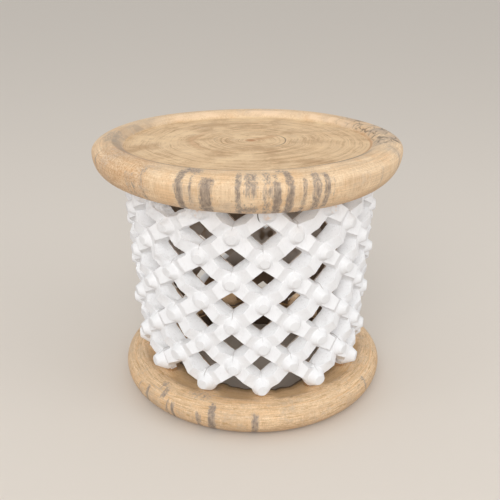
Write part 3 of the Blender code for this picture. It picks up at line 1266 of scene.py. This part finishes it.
@dataclass
class OpenworkWall:
    """The drum wall: knobs in staggered columns, joined by diagonal arms, cut right through between them."""

    seat_radius: float
    seat_under_z: float
    base_radius: float
    base_height: float
    repeats: int = 12
    levels: int = 9
    rim_overhang: float = 0.0453
    foot_setback: float = 0.0359
    top_row_drop: float = 0.0068
    foot_row_lift: float = 0.0171
    depth: float = 0.0127
    arm_width: float = 0.0238
    arm_ridge: float = 0.010
    ridge_narrowing: float = 0.32
    arm_lap: float = 0.002
    arm_cuts: tuple[tuple[float, float], ...] = ((-0.0025, 0.9), (0.0, 1.0), (0.0020, 1.1))
    arm_sway: tuple[float, float, float] = (0.05, 0.012, 0.02)
    arm_least: tuple[float, float, float] = (1.0, 0.96, 0.93)
    arm_most: tuple[float, float, float] = (1.0, 1.05, 1.06)
    knob_rise: float = 0.0125
    knob_root: float = 0.006
    knob_radius: float = 0.0132
    knob_taper: float = 0.58
    knob_bow: float = 1.0
    knob_sides: int = 22
    knob_rings: int = 9
    knob_lean: float = 0.08
    knob_turn: float = 3.0
    knob_least: tuple[float, float, float] = (0.94, 0.94, 0.93)
    knob_most: tuple[float, float, float] = (1.06, 1.06, 1.07)
    knob_growth: float = 0.14
    foot_width: float = 0.014
    foot_recess: float = 0.003
    squeeze: float = 0.25
    voxel: float = 0.0007
    quick_voxel: float = 1.6
    triangles: int = 195000
    edge_angle: float = 26.0
    flatness: int = 60
    drift: tuple[Wave, ...] = (Wave(1.94, 2, 128.0), Wave(0.77, 5, -146.0))
    drift_mean: float = -0.40
    top_lean: float = 2.1
    foot_right: float = 0.0006
    foot_front: float = 0.0032
    foot_twist: float = 1.4
    foot_pull: float = 0.0066
    pull_turn: float = -58.0
    pull_power: float = 8.0
    rough_turn: float = -42.0
    uneven: tuple[tuple[float, float], ...] = ((16.0, 0.0040), (48.0, 0.0014))
    seed: int = 7

    def __post_init__(self) -> None:
        """Work out the sizes that follow from the others."""
        self.top_radius = self.seat_radius - self.rim_overhang
        self.foot_radius = self.base_radius - self.foot_setback
        self.top_z = self.seat_under_z - self.top_row_drop
        self.foot_z = self.base_height + self.foot_row_lift
        self.rise = (self.top_z - self.foot_z) / (self.levels - 1)
        self.taper = (self.top_radius - self.foot_radius) / (self.top_z - self.foot_z)
        self.wrap_radius = (self.top_radius + self.foot_radius) / 2
        self.pitch = self.wrap_radius * math.pi / self.repeats
        aside = VIEWER.right() * self.foot_right + VIEWER.towards() * self.foot_front
        self.shear = tuple(aside / (self.top_z - self.foot_z))

    def foot_turns(self) -> list[float]:
        """Return the turns of the feet, in radians."""
        even = np.linspace(0.0, math.tau, self.repeats, endpoint=False)
        wander = sum(wave.at(even) for wave in self.drift) + self.drift_mean
        pulled = np.cos(even - math.radians(self.pull_turn)).clip(0, 1) ** self.pull_power
        return (even + np.radians(wander + self.foot_twist * pulled)).tolist()

    def drawn_in(self, turn: Value, z: Value) -> Value:
        """Return how far the wall is drawn in where it was cut back.

        Args:
            turn: turn of the point, in radians.
            z: its height.

        Returns:
            A share that grows towards the feet and fades to both sides.
        """
        low = (self.top_z - z) / (self.top_z - self.foot_z)
        beside = (turn - math.radians(self.pull_turn)).cosine().most(0.0)
        return beside**self.pull_power * low.most(0.0)

    def wander(self, turn: Value, z: Value) -> Value:
        """Return how far the columns stray from an even spacing.

        Args:
            turn: turn of the point, in radians.
            z: its height.

        Returns:
            The stray, in radians.
        """
        stray = z.step(self.top_z - self.rise, self.top_z) * math.radians(self.top_lean)
        for wave in self.drift:
            stray += wave.field(turn)
        return stray

    def arm(self, tree: Recipe, shift: float, share: float) -> Value:
        """Return one arm along X from its crossing, with a ridge across its outer face.

        Args:
            tree: the tree that it belongs to.
            shift: how far the ridge stands from the arm's middle.
            share: the ridge's rise as a share of the usual one.

        Returns:
            The arm.
        """
        length = math.hypot(self.pitch, self.rise)
        size = (length + 2 * self.arm_lap, self.depth, self.arm_width)
        bar = tree.node("GeometryNodeMeshCube", "Mesh", None, {"Size": size, "Vertices X": 3})
        x, y, z = tree.split(tree.node("GeometryNodeInputPosition"))
        crest = (abs(x) < self.arm_lap) * (y < 0.0)
        lift = crest * (self.arm_ridge * share)
        along = crest * shift + length / 2
        narrower = z * crest * -self.ridge_narrowing
        return tree.move(bar, Offset=tree.vector(along, self.depth / 2 - lift, narrower))

    def arms(self, tree: Recipe) -> Value:
        """Return the arm in a few cuts, to be picked from."""
        cuts = [self.arm(tree, shift, share) for shift, share in self.arm_cuts]
        return tree.node("GeometryNodeGeometryToInstance", 0, None, {"Geometry": cuts})

    def knob(self, tree: Recipe) -> Value:
        """Return one blunt knob along Z, rooted below its crossing.

        Args:
            tree: the tree that it belongs to.

        Returns:
            The knob.
        """
        radius = tree.size("Knob radius", self.knob_radius)
        rise = tree.size("Knob rise", self.knob_rise)
        sizes = {"Radius Top": radius, "Radius Bottom": radius, "Depth": rise + self.knob_root}
        facets = {"Vertices": self.knob_sides, "Side Segments": self.knob_rings, "Fill Segments": 2}
        peg = tree.node("GeometryNodeMeshCone", "Mesh", None, {**facets, **sizes})
        x, y, z = tree.split(tree.node("GeometryNodeInputPosition"))
        height = ((z - self.knob_root) / rise).most(0.0)
        narrow = 1 - height**self.knob_bow * self.knob_taper
        return tree.move(peg, Position=tree.vector(x * narrow, y * narrow, z - self.knob_root))

    def foot(self, tree: Recipe) -> Value:
        """Return one foot: a neck under the lowest knob that runs down into the base ring's top.

        Args:
            tree: the tree that it belongs to.

        Returns:
            The foot.
        """
        drop = self.foot_z - self.base_height + self.arm_lap * 4
        deep = self.depth - self.foot_recess
        neck = tree.node("GeometryNodeMeshCube", "Mesh", None, {"Size": (self.foot_width, deep, drop)})
        return tree.move(neck, Offset=(0.0, deep / 2 + self.foot_recess, -drop / 2))

    def crossings(self, tree: Recipe) -> Value:
        """Return the crossings on the wall laid flat: X along it, -Y outward, Z up, with a row above the top.

        Args:
            tree: the tree that they belong to.

        Returns:
            The points.
        """
        rows = self.levels + 1
        line = tree.node("GeometryNodeMeshLine", "Mesh", None, {"Count": 2 * self.repeats * rows})
        index = tree.node("GeometryNodeInputIndex")
        column = (index / rows + 0.5 / rows).floor()
        level = index - column * rows - 1.0
        spot = tree.vector(column * self.pitch, 0.0, self.top_z - level * self.rise)
        laid = {"Geometry": tree.move(line, Position=spot), "Selection": ((column + level) % 2.0) > 0.5}
        return tree.node("GeometryNodeDeleteGeometry", 0, {"domain": "POINT"}, laid)

    def lattice(self, material: bpy.types.Material) -> Recipe:
        """Return the tree that makes the whole wall of overlapping arms, knobs and feet, bent round the axis.

        Args:
            material: the wall's material.

        Returns:
            The tree.
        """
        tree = Recipe("openwork_lattice")
        points = self.crossings(tree)
        height = tree.split(tree.node("GeometryNodeInputPosition"))[2]
        below_seat = height < self.top_z + self.rise / 2
        above_foot = height > self.foot_z + self.rise / 2
        on_foot = height < self.foot_z + self.rise / 2
        arms = self.arms(tree)
        tilt = math.atan2(self.rise, self.pitch)
        roll_sway, tilt_sway, side_sway = self.arm_sway
        parts = []
        for seed, (where, turn) in enumerate(((below_seat, -tilt), (above_foot, tilt)), self.seed):
            low, high = (-roll_sway, turn - tilt_sway, -side_sway), (roll_sway, turn + tilt_sway, side_sway)
            sway = tree.chance(low, high, seed)
            stout = tree.chance(self.arm_least, self.arm_most, seed + 10)
            parts.append(tree.scatter(points, where, arms, sway, stout, seed + 30))
        out, lean, spin = math.pi / 2, self.knob_lean, self.knob_turn
        leaning = tree.chance((out - lean, -spin, -lean), (out + lean, spin, lean), self.seed + 20)
        plump = tree.chance(self.knob_least, self.knob_most, self.seed + 21)
        lowness = (self.top_z - height) / (self.top_z - self.foot_z)
        plump = tree.scaled(plump, 1.0 + lowness * self.knob_growth)
        parts.append(tree.scatter(points, below_seat, self.knob(tree), leaning, plump))
        level, plain = tree.vector(0.0, 0.0, 0.0), tree.vector(1.0, 1.0, 1.0)
        parts.append(tree.scatter(points, on_foot, self.foot(tree), level, plain))
        flat = tree.node("GeometryNodeJoinGeometry", 0, None, {"Geometry": parts})
        flat = tree.node("GeometryNodeRealizeInstances", 0, None, {"Geometry": flat})
        tree.close(self.bend(tree, flat), material)
        return tree

    def bend(self, tree: Recipe, flat: Value) -> Value:
        """Return the flat wall bent round the axis, with its columns and rows set by eye.

        Args:
            tree: the tree that it belongs to.
            flat: the wall laid flat.

        Returns:
            The bent wall.
        """
        x, y, z = tree.split(tree.node("GeometryNodeInputPosition"))
        turn = x / self.wrap_radius
        beside = self.drawn_in(turn, z)
        angle = turn + self.wander(turn, z) + beside * math.radians(self.foot_twist)
        angle = angle + math.radians(self.drift_mean)
        over = (z - self.seat_under_z).most(0.0)
        radius = (z - self.foot_z) * self.taper + self.foot_radius - y - beside * self.foot_pull
        drop = self.top_z - z
        spot = tree.vector(
            radius * angle.sine() + drop * self.shear[0],
            radius * angle.cosine() * -1.0 + drop * self.shear[1],
            z - over * (1 - self.squeeze),
        )
        bent = tree.move(flat, Position=spot)
        here = tree.node("GeometryNodeInputPosition")
        for scale, size in self.uneven:
            cloud = tree.other(tree.noise(here, scale, 1.0), "Color")
            shift = tree.vectors("SUBTRACT", cloud, (0.5, 0.5, 0.5))
            bent = tree.move(bent, Offset=tree.scaled(shift, size))
        return bent

    def hand_work(self, material: bpy.types.Material) -> Recipe:
        """Return the tree that makes the carved faces uneven, as a knife does, and marks hollows and flanks.

        Args:
            material: the wall's material.

        Returns:
            The tree.
        """
        tree = Recipe("hand_work", takes_geometry=True)
        here = tree.node("GeometryNodeInputPosition")
        normal = tree.node("GeometryNodeInputNormal")
        x, y, z = tree.split(here)
        rough_turn = math.radians(self.rough_turn + VIEWER.turn)
        facing = (x * math.sin(rough_turn) - y * math.cos(rough_turn)) / (x * x + y * y).root()
        on_left = facing.step(0.945, 0.985) * z.step(self.foot_z + 2 * self.rise, self.foot_z + 5 * self.rise)
        frayed = facing.step(0.90, 0.95) * z.step(self.top_z - self.rise * 0.7, self.top_z)
        cuts = (tree.noise(here, 110.0, 2.0) - 0.5) * tree.size("Broad cuts", 0.0003)
        cuts += (tree.noise(here, 420.0, 2.0) - 0.5) * tree.size("Fine cuts", 0.00012)
        cuts += (tree.noise(here, 75.0, 2.0) - 0.5) * on_left * tree.size("Coarse cuts", 0.0050)
        cuts += (tree.noise(here, 190.0, 2.0) - 0.5) * frayed * tree.size("Fray", 0.0070)
        worked = tree.move(tree.geometry(), Offset=tree.scaled(normal, cuts))
        around = {"Value": here, "Iterations": 6}
        blurred = tree.node("GeometryNodeBlurAttribute", "Value", {"data_type": "FLOAT_VECTOR"}, around)
        hollow = tree.vectors("DOT_PRODUCT", tree.vectors("SUBTRACT", blurred, here), normal) * MILLIMETRES
        marked = tree.store(worked, "hollow", hollow)
        outward = tree.vectors("NORMALIZE", tree.vector(x, y, 0.0))
        flank = 1.0 - abs(tree.vectors("DOT_PRODUCT", normal, outward))
        tree.close(tree.store(marked, "flank", flank), material)
        return tree

    def build(self) -> bpy.types.Object:
        """Return the finished wall."""
        paint = ChalkPaint(self)
        material = paint.material()
        blank = placed("openwork_blank", bpy.data.meshes.new("openwork_blank"))
        self.lattice(material).put_on(blank)
        whole = blank.modifiers.new("one_body", "REMESH")
        whole.mode = "VOXEL"
        whole.voxel_size = self.voxel * 1.0
        whole.use_smooth_shade = True
        self.hand_work(material).put_on(blank)
        mesh = baked(blank)
        LOG.info("openwork before thinning: %d faces", len(mesh.polygons))
        bpy.data.objects.remove(blank)
        mesh = self.thinned(mesh)
        mesh.name = "openwork_body"
        nodes = [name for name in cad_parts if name.startswith("wall_panel")]
        return show("openwork_wall", mesh, paint, nodes)

    def thinned(self, mesh: bpy.types.Mesh) -> bpy.types.Mesh:
        """Return the mesh with flat stretches made of fewer triangles, and with crisp edges.

        Args:
            mesh: the dense mesh, which is removed.

        Returns:
            The thinner mesh.
        """
        dense = placed("openwork_dense", mesh)
        thin = dense.modifiers.new("thin", "DECIMATE")
        thin.ratio = min(1.0, self.triangles / (2 * len(mesh.polygons)))
        few = baked(dense)
        few.set_sharp_from_angle(angle=math.radians(self.edge_angle))
        dense.modifiers.remove(thin)
        dense.data = few
        crisp = dense.modifiers.new("flat_facets", "WEIGHTED_NORMAL")
        crisp.mode = "FACE_AREA"
        crisp.weight = self.flatness
        crisp.keep_sharp = True
        made = baked(dense)
        bpy.data.objects.remove(dense)
        bpy.data.meshes.remove(few)
        bpy.data.meshes.remove(mesh)
        return made


@dataclass(frozen=True)
class Lamp:
    """A soft round lamp that faces the stool."""

    name: str
    place: tuple[float, float, float]
    size: float
    power: float
    aim: tuple[float, float, float] = (0.0, 0.0, 0.18)

    def build(self) -> None:
        """Put the lamp in the scene."""
        data = bpy.data.lights.new(self.name, "AREA")
        data.shape = "DISK"
        data.size = self.size
        data.energy = self.power
        lamp = placed(self.name, data)
        lamp.location = self.place
        lamp.rotation_euler = (Vector(self.aim) - lamp.location).to_track_quat("-Z", "Y").to_euler()


@dataclass
class Studio:
    """Plain pale floor, soft light and the camera."""

    floor_half: float = 14.0
    sky: float = 0.675
    lamps: tuple[Lamp, ...] = (
        Lamp("front_light", (-1.0, -3.8, 3.0), 3.2, 69.0),
        Lamp("low_light", (-0.4, -4.6, 0.92), 2.6, 32.5),
        Lamp("right_light", (1.6, -0.9, 0.9), 1.2, 6.5),
        Lamp("left_light", (-1.7, -0.7, 0.8), 1.2, 4.0),
    )

    def build(self) -> None:
        """Put the floor, the lights and the camera in the scene."""
        self.floor()
        for lamp in self.lamps:
            lamp.build()
        world = bpy.data.worlds.new("soft_sky")
        world.use_nodes = True
        shade = world.node_tree.nodes["Background"]
        shade.inputs["Color"].default_value = (1.0, 1.0, 1.0, 1.0)
        shade.inputs["Strength"].default_value = self.sky
        bpy.context.scene.world = world
        bpy.context.scene.view_settings.view_transform = "Standard"
        self.camera()

    def floor(self) -> None:
        """Add the floor."""
        half = self.floor_half
        corners = [(-half, -half, 0), (half, -half, 0), (half, half, 0), (-half, half, 0)]
        mesh = bpy.data.meshes.new("floor")
        mesh.from_pydata(corners, [], [(0, 1, 2, 3)])
        mesh.materials.append(PalePaper().material())
        placed("floor", mesh)

    def camera(self) -> None:
        """Add the camera at the viewer's place."""
        data = bpy.data.cameras.new("camera")
        data.sensor_fit = "AUTO"
        data.angle = math.radians(VIEWER.lens_angle)
        camera = placed("camera", data)
        spot = VIEWER.towards() * VIEWER.distance
        camera.matrix_world = Matrix.Translation((spot.x, spot.y, VIEWER.height))
        for angle, axis in ((VIEWER.turn, "Z"), (90.0 - VIEWER.tilt, "X"), (VIEWER.roll, "Z")):
            camera.matrix_world = camera.matrix_world @ Matrix.Rotation(math.radians(angle), 4, axis)
        bpy.context.scene.camera = camera


def main() -> None:
    """Build and dress the stool."""
    logging.basicConfig(level=logging.INFO, format="%(name)s: %(message)s")
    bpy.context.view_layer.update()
    seat_low, seat_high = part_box("seat")
    base_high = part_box("base_ring")[1]
    wall = OpenworkWall(seat_high[0], seat_low[2], base_high[0], base_high[2])
    seat = Seat(seat_high[0], seat_low[2], seat_high[2])
    base = BaseRing(base_high[0], base_high[2], wall.foot_turns())
    for piece in (seat, wall, base):
        made = piece.build()
        LOG.info("%s: %d faces", made.name, len(made.data.polygons))
    Studio().build()


if __name__ == "__main__":
    main()
